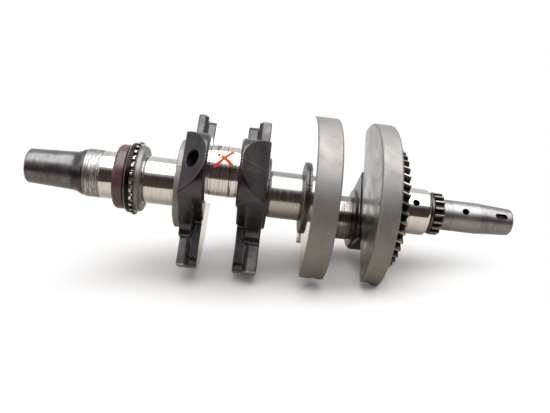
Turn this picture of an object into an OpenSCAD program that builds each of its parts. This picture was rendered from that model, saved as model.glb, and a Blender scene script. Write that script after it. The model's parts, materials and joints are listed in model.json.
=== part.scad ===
// Forged crankshaft of a parallel-twin engine with plain bearings and a 180 degree throw.
// The crank turns about X. The origin is the middle of the centre main journal.
// -X is the power take-off end, +X is the flywheel end, and +Z is up.

/* [Journals] */
// Diameter of the three main journals and of the seal journal
main_d = 40; // [38:0.5:41]
// Diameter of the two crankpins
crankpin_d = 40; // [36:0.5:41]
// Length of the centre main journal between its thrust flanges
centre_main_w = 29; // [26:0.5:32]
// Length of the left main journal, from its undercut to its flange
left_main_w = 28.5; // [26:0.5:32]
// Depth of the grinding undercut at the ends of each journal
undercut = 0.5; // [0.3:0.1:1]

/* [Throws] */
// Distance from the main axis to each crankpin axis
throw = 36.5; // [34:0.5:38]
// Direction of crankpin 1 about +X, measured from +Y
throw_angle = 144.5; // [0:0.5:359.5]
// Distance between the middles of the two crankpins
pin_spacing = 104; // [103:0.5:106]
// Length of each crankpin between its thrust collars
pin_w = 24; // [23:0.5:25]

/* [Webs] */
// Outer radius of the counterweights
web_r = 70; // [66:0.5:74]
// Half of the angle that each counterweight fills
fan_half_angle = 88; // [82:1:89]
// Thickness of the counterweights at the two ends
outer_fan_w = 17.5; // [15:0.5:18]
// Thickness of the counterweights beside the centre main journal
inner_fan_w = 21.5; // [20:0.5:22]
// Radius of the round end of a web about its crankpin
lobe_r = 28; // [26:0.5:30]
// Slope of the bevel that is cut across a web's round end
bevel_angle = 44; // [38:1:48]
// Diameter of the slanted drilling that runs from the bevel into the crankpin
gallery_d = 14; // [10:0.5:15]
// Radius of the flange beside the left main journal
left_flange_r = 36.9; // [34:0.1:40]
// Radius of the thrust flanges beside the centre main journal
thrust_flange_r = 30.5; // [28:0.5:33]

/* [Power take-off end] */
// Large diameter of the 1 in 10 taper for the clutch
pto_taper_d = 32.2; // [30:0.1:34]
// Length of that taper
pto_taper_w = 38; // [35:0.5:42]
// Length of the flare between that taper and the seal journal
pto_flare_w = 10.5; // [8:0.5:12]
// Length of the seal journal, taken up to the left main journal
seal_journal_w = 48; // [46:0.5:50]

/* [Flywheel end] */
// Diameter of the shaft that carries the timing sprocket
shaft_d = 26.5; // [25:0.1:27]
// Length of that shaft
shaft_w = 45.2; // [43:0.2:48]
// Length of the flywheel taper
fly_taper_w = 28.2; // [28:0.2:34]
// Diameter of the free end of the flywheel taper
fly_end_d = 22.6; // [21:0.1:23]
// Width of the flywheel keyway
keyway_w = 4.5; // [3:0.1:5]

/* [Drives] */
// Teeth on the balancer drive gear
gear_teeth = 40; // [34:1:42]
// Outer radius of the balancer drive gear
gear_r = 51; // [46:0.5:52]
// Face width of the balancer drive gear
gear_w = 10; // [9:0.5:11]
// Helix angle of the balancer drive gear
helix_angle = 20; // [5:1:22]
// Teeth on the timing sprocket
timing_teeth = 18; // [16:1:22]
// Outer radius of the timing sprocket
timing_r = 18.2; // [17:0.1:19]
// Teeth on the pump drive sprocket
pump_teeth = 28; // [26:1:32]
// Outer radius of the pump drive sprocket
pump_r = 31; // [30:0.5:33]

/* [Oil seal] */
// Outer diameter of the oil seal
seal_d = 54; // [52:0.5:56]
// Width of the oil seal
seal_w = 9; // [8:0.5:10]

/* [Hidden] */
$fn = 96;

main_r = main_d / 2;
crankpin_r = crankpin_d / 2;
shaft_r = shaft_d / 2;
shaft_chamfer = 1;
undercut_w = 1.5;

// Stations along X, worked outwards from the middle of the centre main journal
centre_x = centre_main_w / 2;
pin_x = pin_spacing / 2;
collar_w = 1.5;
pin_near_x = pin_x - pin_w / 2;
pin_far_x = pin_x + pin_w / 2;
web_near_x = pin_near_x - collar_w;
web_far_x = pin_far_x + collar_w;
hub_extra = 1.5;
thrust_flange_w = web_near_x - inner_fan_w - centre_x;
web_end_x = web_far_x + outer_fan_w + hub_extra;
left_flange_w = 5.5;
left_main_x = -web_end_x - left_flange_w;
seal_journal_x = left_main_x - left_main_w;
pto_x = seal_journal_x - seal_journal_w;
pto_end_x = pto_x - pto_flare_w - pto_taper_w;
right_main_x = web_end_x + gear_w;
right_main_w = 24.5;
right_main_end_w = 3.5;
shaft_x = right_main_x + right_main_w + right_main_end_w;
fly_taper_x = shaft_x + shaft_w;
fly_end_x = fly_taper_x + fly_taper_w;

// Web details
flank_r = 37;
inner_flank_r = 31;
inner_flank_w = 8;
flank_fillet_r = 9;
fillet_overlap = 4;
collar_r = 26.5;
rim_chamfer = 1.2;
tip_drop = 5;
tip_round = 8;
last_tip_drop = 1;
last_tip_round = 6;
beyond_rim = 10;
rib_share = 0.52;
groove_r = 2.6;
face_step = 1.2;
gallery_place = 0.62;
gallery_reach = 60;
gallery_above = 20;

// Drillings and threads
oil_hole_d = 5;
oil_chamfer = 0.8;
axial_gallery_d = 6;
pto_thread_d = 12.4;
pto_thread_w = 34;
pto_mouth_d = 15;
pto_mouth_w = 6;
fly_thread_d = 10.8;
fly_thread_w = 23;
fly_mouth_d = 13;
fly_mouth_w = 3;
plug_depth = 12;
plug_w = 5;
end_plug_w = 5;
dowel_r = 2.5;
dowel_w = 9;
dowel_place_r = 30;

// Positions of the drillings, seal and drives along X
scuff_w = 13.3;
oil_hole_right_x = 108.3;
oil_hole_shaft_x = fly_taper_x - 14.4;
keyway_x = fly_taper_x + 11.7;
keyway_len = 10.8;
keyway_depth = 2.6;
keyway_top_drop = 1.3;
gallery_start_x = oil_hole_right_x - 4;
pump_x = seal_journal_x - 12.5;
pump_hub_w = 4.5;
pump_tooth_w = 3.5;
pump_collar_w = 4.5;
pump_hub_r = 29.5;
pump_collar_r = 27.5;
seal_x = pump_x - 1 - seal_w;
running_gap = 0.05;
case_out_r = seal_d / 2 - 1;
case_in_r = case_out_r - 1.2;
case_foot_r = main_r + 3.2;
case_left_x = seal_x + 1;
case_step_x = case_left_x + 1.2;
case_right_x = seal_x + seal_w - 1;
gear_seat_r = 21;
gear_tooth_h = 5.6;
gear_root_share = 0.78;
gear_tip_share = 0.28;
gear_rim_h = 5;
gear_hub_w = 5;
gear_recess = 2;
pump_tooth_h = 2.6;
pump_root_share = 0.75;
pump_tip_share = 0.3;
timing_hub_w = 2.5;
timing_hub_drop = 0.6;
timing_tooth_w = 9;
timing_tooth_h = 3;
timing_root_share = 0.72;
timing_tip_share = 0.34;
relief_w = 1.2;
relief = 0.3;

forging = [0.25, 0.24, 0.25];
machined = [0.62, 0.6, 0.58];
ground = [0.86, 0.85, 0.83];
satin = [0.42, 0.41, 0.41];
dark_steel = [0.3, 0.29, 0.28];
maroon = [0.36, 0.14, 0.15];

// A solid turned about X from [radius, x] points
module turned(points) {
    rotate([0, 90, 0]) rotate_extrude() polygon(points);
}

// A plain round bar along X
module bar(r, x, w) {
    translate([x, 0, 0]) rotate([0, 90, 0]) cylinder(r = r, h = w);
}

// Turns its children, drawn with the crankpin towards +Y, to a crankpin's direction
module phase(turn) {
    rotate([throw_angle + turn, 0, 0]) children();
}

// A flat outline with x towards the crankpin, made into a plate from x to x + w along X
module plate(x, w) {
    translate([x, 0, 0]) rotate([90, 0, 90]) linear_extrude(height = w) children();
}

// A radial drilling at x with a chamfered mouth, towards +Y
module radial_drilling(x, surface_r) {
    translate([x, 0, 0]) rotate([-90, 0, 0]) {
        cylinder(d = oil_hole_d, h = surface_r + 5);
        translate([0, 0, surface_r - oil_chamfer])
            cylinder(d1 = oil_hole_d, d2 = oil_hole_d + 4 * oil_chamfer, h = 2 * oil_chamfer);
    }
}

// A ground journal from x to x + w, with an undercut ring at each end
module journal(r, x, w) {
    turned([
        [0, x], [r - undercut, x], [r - undercut, x + undercut_w], [r, x + undercut_w],
        [r, x + w - undercut_w], [r - undercut, x + w - undercut_w], [r - undercut, x + w],
        [0, x + w]
    ]);
}

// Sector of a circle on the side away from the crankpin
function sector(r, half, steps = 24) = concat(
    [[0, 0]],
    [for (i = [0:steps]) let (a = 180 - half + 2 * half * i / steps) [r * cos(a), r * sin(a)]]
);

// Outline of a web's crankpin side: the round end, tangent flanks and the hub
module lobe_outline(hub_r, end_r) {
    lean = asin((hub_r - end_r) / throw);
    circle(r = hub_r);
    translate([throw, 0]) circle(r = end_r);
    polygon([
        [hub_r * sin(lean), hub_r * cos(lean)],
        [throw + end_r * sin(lean), end_r * cos(lean)],
        [throw + end_r * sin(lean), -end_r * cos(lean)],
        [hub_r * sin(lean), -hub_r * cos(lean)]
    ]);
}

// Concave fillets in the corners between the hub's circle and the faces of the fan tips
module hub_fillets(hub_r) {
    reach = sqrt(pow(hub_r + flank_fillet_r, 2) - pow(flank_fillet_r, 2));
    inner = hub_r - fillet_overlap;
    for (side = [-1, 1]) difference() {
        polygon([
            [-fillet_overlap, side * inner], [fillet_overlap, side * inner],
            [flank_fillet_r, side * reach], [-fillet_overlap, side * reach]
        ]);
        translate([flank_fillet_r, side * reach]) circle(r = flank_fillet_r);
    }
}

// Outline of the inner rib's part of a fan. Its corners are rounded off where tip_r isn't 0.
module round_sector(half, tip_r) {
    middle_r = web_r - tip_r;
    turn = asin(tip_r / middle_r);
    place = [middle_r * cos(turn), middle_r * sin(turn)];
    far = web_r + 1.5 * beyond_rim;
    difference() {
        polygon(sector(web_r + beyond_rim, half));
        if (tip_r > 0)
            for (side = [-1, 1]) rotate(side * (180 - half)) mirror([0, side < 0 ? 1 : 0]) difference() {
                polygon([[place[0], -1], [far, -1], [far * cos(turn), far * sin(turn)], place]);
                translate(place) circle(r = tip_r);
            }
    }
}

// Counterweight from x = -w to -face_step: a turned disc with chamfered rims, cut to its fan
module fan(w, drop, tip_r) {
    rib_w = w * rib_share;
    difference() {
        intersection() {
            turned([
                [0, -w], [web_r - rim_chamfer, -w], [web_r, -w + rim_chamfer],
                [web_r, -face_step - rim_chamfer], [web_r - rim_chamfer, -face_step], [0, -face_step]
            ]);
            union() {
                plate(-w, rib_w) polygon(sector(web_r + beyond_rim, fan_half_angle));
                plate(-w + rib_w, w - rib_w) round_sector(fan_half_angle - drop, tip_r);
            }
        }
        // the valley between the two ribs of each fan tip
        for (side = [-1, 1])
            rotate([side * (180 - fan_half_angle), 0, 0])
                translate([-w + rib_w, 0, 0])
                rotate([-90, 0, 0])
                cylinder(r = groove_r, h = web_r + beyond_rim, $fn = 32);
    }
}

// The slanted drilling of a web that starts at its bevel and ends inside the crankpin
module gallery(depth = -gallery_above, w = gallery_reach) {
    mid_u = throw + lobe_r * gallery_place;
    mid_x = -lobe_r * (1 - gallery_place) / tan(bevel_angle);
    translate([mid_x, mid_u, 0])
        rotate([0, 0, bevel_angle])
        rotate([90, 0, 0])
        translate([0, 0, depth])
        cylinder(d = gallery_d, h = w);
}

// One web with its crankpin face at x = 0 and its crankpin towards +Y. The crankpin side of that
// face stands proud of the milled counterweight by face_step.
// drop is the angle by which the inner rib stops short, and tip_r rounds its tips.
module web_body(fan_w, hub_w, flange_r, flange_w, drop, tip_r) {
    depth = fan_w + hub_w;
    difference() {
        union() {
            fan(fan_w, drop, tip_r);
            plate(-depth, depth - inner_flank_w) {
                lobe_outline(flank_r, lobe_r);
                hub_fillets(flank_r);
            }
            plate(-inner_flank_w, inner_flank_w - face_step) lobe_outline(inner_flank_r, lobe_r);
            plate(-inner_flank_w, inner_flank_w) intersection() {
                lobe_outline(inner_flank_r, lobe_r);
                translate([0, -web_r]) square(2 * web_r);
            }
            translate([0, throw, 0]) bar(collar_r, -face_step, face_step + collar_w);
            bar(flange_r, -depth - flange_w, flange_w + 0.01);
        }
        // the bevel across the round end
        translate([0, throw + lobe_r, 0])
            rotate([0, 0, bevel_angle])
            translate([-100, 0, -50])
            cube([100, 60, 100]);
    }
}

module pto_taper() color(satin) {
    small_r = (pto_taper_d - pto_taper_w / 10) / 2;
    big_r = pto_taper_d / 2;
    rise = main_r - 0.6 - big_r;
    difference() {
        turned(concat(
            [[0, pto_end_x], [small_r - 1, pto_end_x], [small_r, pto_end_x + 1]],
            [for (a = [0:15:180])
                [big_r + rise * (1 - cos(a)) / 2, pto_x - pto_flare_w * (1 - a / 180)]],
            [[0, pto_x]]
        ));
        bar(pto_thread_d / 2, pto_end_x, pto_mouth_w + pto_thread_w);
        bar(pto_mouth_d / 2, pto_end_x - 1, pto_mouth_w + 1);
    }
}

module seal_journal() color(ground) {
    groove_x = pto_x + scuff_w;
    turned([
        [0, pto_x], [main_r - 0.6, pto_x], [main_r, pto_x + 0.6],
        [main_r, groove_x - 0.5], [main_r - 0.3, groove_x - 0.2],
        [main_r - 0.3, groove_x + 0.2], [main_r, groove_x + 0.5],
        [main_r, seal_journal_x], [0, seal_journal_x]
    ]);
}

module main_journal_left() color(ground) {
    difference() {
        journal(main_r, seal_journal_x, left_main_w);
        phase(180) radial_drilling(seal_journal_x + left_main_w / 2, main_r);
    }
}

module web_1() color(forging)
    phase(0) translate([-web_far_x, 0, 0]) difference() {
        web_body(outer_fan_w, hub_extra, left_flange_r, left_flange_w, tip_drop, tip_round);
        gallery();
    }

module crankpin(turn, x, side, hole_angle) {
    phase(turn) difference() {
        translate([0, throw, 0]) journal(crankpin_r, x - pin_w / 2, pin_w);
        // the slanted drilling comes in from the outer web
        translate([side * web_far_x, 0, 0]) mirror([side > 0 ? 1 : 0, 0, 0]) gallery();
        translate([0, throw, 0]) rotate([hole_angle, 0, 0]) radial_drilling(x, crankpin_r);
    }
}

module crankpin_1() color(ground) crankpin(0, -pin_x, -1, 150);

module web_2() color(forging)
    phase(0) translate([-web_near_x, 0, 0]) mirror([1, 0, 0])
        web_body(inner_fan_w, 0, thrust_flange_r, thrust_flange_w, tip_drop, tip_round);

module main_journal_centre() color(ground) {
    difference() {
        journal(main_r, -centre_x, centre_main_w);
        phase(180) radial_drilling(0, main_r);
    }
}

module web_3() color(machined)
    phase(180) translate([web_near_x, 0, 0])
        web_body(inner_fan_w, 0, thrust_flange_r, thrust_flange_w, 0, 0);

module crankpin_2() color(ground) crankpin(180, pin_x, 1, 60);

module web_4() color(machined)
    difference() {
        phase(180) translate([web_far_x, 0, 0]) mirror([1, 0, 0]) difference() {
            web_body(outer_fan_w, hub_extra, gear_seat_r, 0, last_tip_drop, last_tip_round);
            gallery();
        }
        dowel_shape();
    }

// Dowel that sets the balancer drive gear to the crank
module dowel_shape() {
    phase(0) translate([0, dowel_place_r, 0]) bar(dowel_r, web_end_x - dowel_w / 2, dowel_w);
}

module main_journal_right() color(ground) {
    end_x = right_main_x + right_main_w;
    wall_x = right_main_x + undercut_w;
    nose = right_main_end_w;
    difference() {
        turned(concat(
            [
                [0, web_end_x], [gear_seat_r, web_end_x], [gear_seat_r, right_main_x],
                [main_r - undercut, right_main_x], [main_r - undercut, wall_x], [main_r, wall_x]
            ],
            [for (a = [0:15:90]) [main_r - nose + nose * cos(a), end_x + nose * sin(a)]],
            [[0, shaft_x]]
        ));
        phase(0) radial_drilling(oil_hole_right_x, main_r);
        bar(axial_gallery_d / 2, gallery_start_x, shaft_x - gallery_start_x + 1);
    }
}

module flywheel_shaft() color(satin) {
    relief_x = shaft_x + timing_hub_w + timing_tooth_w;
    difference() {
        turned([
            [0, shaft_x], [shaft_r, shaft_x], [shaft_r, relief_x],
            [shaft_r - relief, relief_x], [shaft_r - relief, relief_x + relief_w],
            [shaft_r, relief_x + relief_w], [shaft_r, fly_taper_x], [0, fly_taper_x]
        ]);
        phase(0) radial_drilling(oil_hole_shaft_x, shaft_r);
        bar(axial_gallery_d / 2, shaft_x - 1, shaft_w + 2);
    }
}

module flywheel_taper() color(satin) {
    end_r = fly_end_d / 2;
    big_r = shaft_r - 0.15;
    mouth_x = fly_end_x - fly_mouth_w;
    difference() {
        turned([
            [0, fly_taper_x], [big_r, fly_taper_x], [end_r, fly_end_x - shaft_chamfer],
            [end_r - shaft_chamfer, fly_end_x], [0, fly_end_x]
        ]);
        bar(fly_thread_d / 2, mouth_x - fly_thread_w, fly_thread_w + 1);
        bar(fly_mouth_d / 2, mouth_x, fly_mouth_w + 1);
        bar(axial_gallery_d / 2, fly_taper_x - 1, 6);
        phase(0) translate([keyway_x, shaft_r - keyway_top_drop - keyway_depth, -keyway_w / 2])
            cube([keyway_len, 10, keyway_w]);
    }
}

// Outline of a ring of straight-sided teeth
function tooth_ring(teeth, root_r, tip_r, root_share, tip_share) = [
    for (i = [0:teeth - 1], k = [0:3])
        let (
            pitch = 360 / teeth,
            share = (k == 0 || k == 3) ? root_share : tip_share,
            a = pitch * (i + (k < 2 ? -share : share) / 2),
            r = (k == 0 || k == 3) ? root_r : tip_r
        )
        [r * cos(a), r * sin(a)]
];

module pump_drive_sprocket() color(dark_steel) {
    difference() {
        union() {
            turned([
                [main_r, pump_x], [pump_hub_r - 1.5, pump_x], [pump_hub_r, pump_x + 1.5],
                [pump_hub_r, pump_x + pump_hub_w], [main_r, pump_x + pump_hub_w]
            ]);
            plate(pump_x + pump_hub_w, pump_tooth_w)
                polygon(tooth_ring(
                    pump_teeth, pump_r - pump_tooth_h, pump_r, pump_root_share, pump_tip_share
                ));
        }
        bar(main_r, pump_x - 1, pump_hub_w + pump_tooth_w + 2);
    }
}

module sprocket_collar() color(dark_steel) {
    x = pump_x + pump_hub_w + pump_tooth_w;
    turned([
        [main_r, x], [pump_collar_r, x], [pump_collar_r, x + pump_collar_w - 1],
        [pump_collar_r - 1, x + pump_collar_w], [main_r, x + pump_collar_w]
    ]);
}

// Helical gear: the twist over the face width follows from the helix angle
module balancer_drive_gear() color(dark_steel) {
    twist = -gear_w * tan(helix_angle) / gear_r * 180 / PI;
    root_r = gear_r - gear_tooth_h;
    difference() {
        translate([web_end_x, 0, 0]) rotate([90, 0, 90])
            linear_extrude(height = gear_w, twist = twist, slices = 3)
            polygon(tooth_ring(gear_teeth, root_r, gear_r, gear_root_share, gear_tip_share));
        bar(gear_seat_r, web_end_x - 1, gear_w + 2);
        // the right face is recessed between hub and rim
        difference() {
            bar(root_r - gear_rim_h, right_main_x - gear_recess, gear_recess + 1);
            bar(gear_seat_r + gear_hub_w, right_main_x - gear_recess - 1, gear_recess + 3);
        }
        dowel_shape();
    }
}

module gear_dowel_pin() color(machined) dowel_shape();

module timing_sprocket() color(dark_steel) {
    difference() {
        union() {
            bar(timing_r - timing_hub_drop, shaft_x, timing_hub_w);
            plate(shaft_x + timing_hub_w, timing_tooth_w)
                polygon(tooth_ring(
                    timing_teeth, timing_r - timing_tooth_h, timing_r,
                    timing_root_share, timing_tip_share
                ));
        }
        bar(shaft_r, shaft_x - 1, timing_hub_w + timing_tooth_w + 2);
    }
}

module gallery_plug_1() color(machined)
    phase(0) translate([-web_far_x, 0, 0]) gallery(plug_depth, plug_w);

module gallery_plug_2() color(machined)
    phase(180) translate([web_far_x, 0, 0]) mirror([1, 0, 0]) gallery(plug_depth, plug_w);

module gallery_end_plug() color(machined)
    bar(axial_gallery_d / 2, fly_taper_x - end_plug_w - 1, end_plug_w);

module seal_case() color(machined) {
    turned([
        [case_out_r, case_left_x], [case_out_r, case_right_x], [case_in_r, case_right_x],
        [case_in_r, case_step_x], [case_foot_r, case_step_x], [case_foot_r, case_left_x]
    ]);
}

// The rubber covers the case's outside and carries the lip that runs on the journal
module seal_rubber() color(maroon) {
    outer = seal_d / 2;
    right = seal_x + seal_w;
    turned([
        [main_r + 0.4, seal_x + 0.6], [main_r + 2.2, seal_x], [outer - 2.2, seal_x],
        [outer, seal_x + 2.5], [outer, right - 0.6], [outer - 0.6, right],
        [case_in_r, right], [case_in_r, case_right_x], [case_out_r, case_right_x],
        [case_out_r, case_left_x], [case_foot_r, case_left_x], [case_foot_r, case_step_x],
        [main_r + 2.6, case_step_x + 2.4], [main_r + 2.4, right - 1.6], [main_r + 1, right - 1],
        [main_r + running_gap, right - 2.4], [main_r + 1.4, seal_x + 3]
    ]);
}

module seal_garter_spring() color(satin) {
    rotate([0, 90, 0]) rotate_extrude()
        translate([main_r + 3.5, seal_x + seal_w - 3]) circle(r = 0.75, $fn = 24);
}

pto_taper();
seal_journal();
main_journal_left();
web_1();
crankpin_1();
web_2();
main_journal_centre();
web_3();
crankpin_2();
web_4();
main_journal_right();
flywheel_shaft();
flywheel_taper();
pump_drive_sprocket();
sprocket_collar();
balancer_drive_gear();
gear_dowel_pin();
timing_sprocket();
gallery_plug_1();
gallery_plug_2();
gallery_end_plug();
seal_case();
seal_rubber();
seal_garter_spring();
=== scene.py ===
"""The looks of a forged crankshaft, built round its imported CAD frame.

The frame's X axis is the crank's axis. Outlines of turned pieces are in millimetres.
"""

import json
import math

import bmesh
import bpy
from mathutils import Matrix, Vector, noise


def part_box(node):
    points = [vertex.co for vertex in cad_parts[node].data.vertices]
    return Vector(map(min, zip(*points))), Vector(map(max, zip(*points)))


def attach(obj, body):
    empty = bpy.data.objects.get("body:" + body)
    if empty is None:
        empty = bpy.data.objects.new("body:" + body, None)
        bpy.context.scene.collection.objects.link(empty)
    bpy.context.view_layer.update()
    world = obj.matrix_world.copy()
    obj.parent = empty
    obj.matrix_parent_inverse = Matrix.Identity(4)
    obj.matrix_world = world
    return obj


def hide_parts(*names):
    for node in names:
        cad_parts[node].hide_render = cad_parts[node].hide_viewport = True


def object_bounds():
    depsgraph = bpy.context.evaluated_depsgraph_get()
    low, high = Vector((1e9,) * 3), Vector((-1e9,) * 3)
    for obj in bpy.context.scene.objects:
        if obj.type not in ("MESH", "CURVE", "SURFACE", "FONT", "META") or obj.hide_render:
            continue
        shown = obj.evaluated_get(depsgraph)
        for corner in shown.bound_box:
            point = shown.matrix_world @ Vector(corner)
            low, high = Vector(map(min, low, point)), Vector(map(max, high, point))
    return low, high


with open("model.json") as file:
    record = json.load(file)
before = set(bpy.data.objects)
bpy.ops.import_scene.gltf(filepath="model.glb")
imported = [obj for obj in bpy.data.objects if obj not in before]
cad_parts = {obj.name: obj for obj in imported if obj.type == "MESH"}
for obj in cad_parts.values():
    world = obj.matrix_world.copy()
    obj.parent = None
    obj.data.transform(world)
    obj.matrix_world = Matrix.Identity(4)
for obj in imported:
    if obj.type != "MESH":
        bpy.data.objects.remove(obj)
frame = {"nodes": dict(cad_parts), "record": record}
cad_low, cad_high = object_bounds()

MM = 0.001
MOUNTS = {mount["name"]: mount for mount in frame["record"]["mounts"]}

# Sizes of the crank's turned parts, in mm
MAIN_R = MOUNTS["main_journal_centre"]["dims"]["r_mm"]
PIN_R = MOUNTS["crankpin_1"]["dims"]["r_mm"]
SHAFT_R = MOUNTS["flywheel_side_shaft"]["dims"]["r_mm"]
GEAR_SEAT_R = 21
UNDERCUT = 0.5
UNDERCUT_W = 1.5
UNDERCUT_RAMP = 0.2
OIL_HOLE_R = 2.5
OIL_HOLE_LIP = 0.9
OIL_HOLE_DEPTH = 12
RIGHT_OIL_HOLE_X = 108.3
THREAD_DEPTH = 0.45

# The crankpins' middles, and the way to crankpin 1 seen along X
PIN_1 = Vector(MOUNTS["crankpin_1"]["pos_m"]) / MM
PIN_2 = Vector(MOUNTS["crankpin_2"]["pos_m"]) / MM
THROW = Vector((0, PIN_1.y, PIN_1.z)).length
THROW_ANGLE = math.atan2(PIN_1.z, PIN_1.y)
TO_PIN_1 = Vector((0, PIN_1.y, PIN_1.z)).normalized()


def span(node):
    """The two ends of a node along X, in mm."""
    low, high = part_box(node)
    return low.x / MM, high.x / MM


# ---------------------------------------------------------------- node trees


class Graph:
    """Adds nodes and links to a node tree."""

    def __init__(self, tree):
        self.tree = tree

    def node(self, kind, **settings):
        made = self.tree.nodes.new("ShaderNode" + kind)
        for key, value in settings.items():
            setattr(made, key, value)
        return made

    def link(self, source, target):
        self.tree.links.new(source, target)

    def math(self, operation, a, b=None, c=None):
        made = self.node("Math", operation=operation)
        for i, value in enumerate((a, b, c)):
            if isinstance(value, (int, float)):
                made.inputs[i].default_value = value
            elif value is not None:
                self.link(value, made.inputs[i])
        return made.outputs[0]

    def remap(self, value, low, high, to_low=0, to_high=1, shape="LINEAR"):
        made = self.node("MapRange", interpolation_type=shape)
        made.inputs["From Min"].default_value = low
        made.inputs["From Max"].default_value = high
        made.inputs["To Min"].default_value = to_low
        made.inputs["To Max"].default_value = to_high
        self.link(value, made.inputs["Value"])
        return made.outputs[0]

    def coloured(self, kind, colour):
        """A shader of one colour."""
        made = self.node(kind)
        made.inputs["Color"].default_value = (*colour, 1)
        return made

    def choose(self, share, first, second):
        """A mix of two shaders: the second one's part is share."""
        made = self.node("MixShader")
        for source, target in zip((share, first, second), made.inputs):
            self.link(source, target)
        return made.outputs[0]

    def seen(self):
        """1 where the camera looks straight at the surface, and 0 where it lights something."""
        return self.node("LightPath").outputs["Is Camera Ray"]


# ---------------------------------------------------------------- camera and light

CAMERA_AIM = Vector((-8.4, 0, 0)) * MM
CAMERA_DISTANCE = 0.478
CAMERA_ELEVATION = math.radians(14)
CAMERA_YAW = math.radians(2.56)
CAMERA_ROLL = math.radians(6.83)
CAMERA_DROP = math.radians(1.22)
LENS = 36.65
SENSOR_W = 36


def make_camera():
    """The camera stands before the crank, a little above it, and leans to its left."""
    e, yaw = CAMERA_ELEVATION, CAMERA_YAW
    towards = Vector((0, -math.cos(e), math.sin(e)))
    above = Vector((0, math.sin(e), math.cos(e)))
    along = Vector((1, 0, 0))
    forward = along * math.sin(yaw) - towards * math.cos(yaw)
    level = along * math.cos(yaw) + towards * math.sin(yaw)
    right = level * math.cos(CAMERA_ROLL) + above * math.sin(CAMERA_ROLL)
    up = above * math.cos(CAMERA_ROLL) - level * math.sin(CAMERA_ROLL)
    place = CAMERA_AIM - forward * CAMERA_DISTANCE
    gaze = forward * math.cos(CAMERA_DROP) - up * math.sin(CAMERA_DROP)
    up = up * math.cos(CAMERA_DROP) + forward * math.sin(CAMERA_DROP)
    data = bpy.data.cameras.new("camera")
    data.lens = LENS
    data.sensor_width = SENSOR_W
    data.clip_start = 0.01
    camera = bpy.data.objects.new("camera", data)
    bpy.context.scene.collection.objects.link(camera)
    turn = Matrix((right, up, -gaze)).transposed().to_4x4()
    camera.matrix_world = Matrix.Translation(place) @ turn
    bpy.context.scene.camera = camera


# The floor's reach from its middle, and where along X its paper fades to white, in metres
FLOOR_BACK = 0.22
FLOOR_FRONT = 0.24
FLOOR_SIDE = 0.45
FADE_START = 0.1
FADE_END = 0.22
# Web 4's fan tip touches the floor this far in from the web's right end
TIP_INSET = 0.0015
PAPER = (0.56, 0.55, 0.54)
PAPER_GLOW = 0.08
PAPER_SHED = (0.46, 0.425, 0.385)

# The world grows bright as a direction's height goes through SKY, or its depth through BACKDROP.
# Its gain falls to 1 as the height goes through HORIZON
SKY = (0.47, 0.86)
BACKDROP = (-0.2, 0.5)
HORIZON = (0, 0.35)
HORIZON_GAIN = 1.45
WORLD_DIM = (0.05, 0.037, 0.035, 1)
WORLD_BRIGHT = (0.8, 0.8, 0.8, 1)


def make_floor():
    """The crank rests on the rim of web 2 and a fan tip of web 4, so the floor leans."""
    rim_low, rim_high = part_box("web_2")
    tip_low, tip_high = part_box("web_4")
    first = Vector((rim_high.x, 0, rim_low.z))
    last = Vector((tip_high.x - TIP_INSET, 0, tip_low.z))
    along = (last - first).normalized()
    centre = (first + last) / 2
    corners = [
        centre + along * x + Vector((0, y, 0))
        for x, y in (
            (-FLOOR_SIDE, -FLOOR_FRONT),
            (FLOOR_SIDE, -FLOOR_FRONT),
            (FLOOR_SIDE, FLOOR_BACK),
            (-FLOOR_SIDE, FLOOR_BACK),
        )
    ]
    mesh = bpy.data.meshes.new("floor")
    mesh.from_pydata([tuple(c) for c in corners], [], [(0, 1, 2, 3)])
    floor = bpy.data.objects.new("floor", mesh)
    bpy.context.scene.collection.objects.link(floor)
    mesh.materials.append(floor_paper())


def floor_paper():
    """White paper that fades out past the crank's ends.

    The light that it sheds is dimmer and warmer than the paper looks.
    """
    matter = bpy.data.materials.new("floor")
    matter.use_nodes = True
    matter.node_tree.nodes.clear()
    graph = Graph(matter.node_tree)
    glow = graph.node("Emission")
    glow.inputs["Strength"].default_value = PAPER_GLOW
    paper = graph.node("AddShader")
    white = graph.coloured("BsdfDiffuse", PAPER)
    graph.link(white.outputs[0], paper.inputs[0])
    graph.link(glow.outputs[0], paper.inputs[1])
    split = graph.node("SeparateXYZ")
    graph.link(graph.node("TexCoord").outputs["Object"], split.inputs[0])
    off = graph.math("ABSOLUTE", split.outputs["X"])
    fade = graph.remap(off, FADE_START, FADE_END, shape="SMOOTHSTEP")
    blank = graph.node("Emission")
    faded = graph.choose(fade, paper.outputs[0], blank.outputs[0])
    warm = graph.coloured("BsdfDiffuse", PAPER_SHED)
    out = graph.node("OutputMaterial")
    graph.link(graph.choose(graph.seen(), warm.outputs[0], faded), out.inputs["Surface"])
    return matter


def area_light(name, place, size, power):
    """A soft rectangular light at a place, aimed at the middle of the crank."""
    data = bpy.data.lights.new(name, "AREA")
    data.shape = "RECTANGLE"
    data.size, data.size_y = size
    data.energy = power
    lamp = bpy.data.objects.new(name, data)
    lamp.location = place
    lamp.rotation_mode = "QUATERNION"
    lamp.rotation_quaternion = (-Vector(place)).to_track_quat("-Z", "Y")
    bpy.context.scene.collection.objects.link(lamp)


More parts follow.
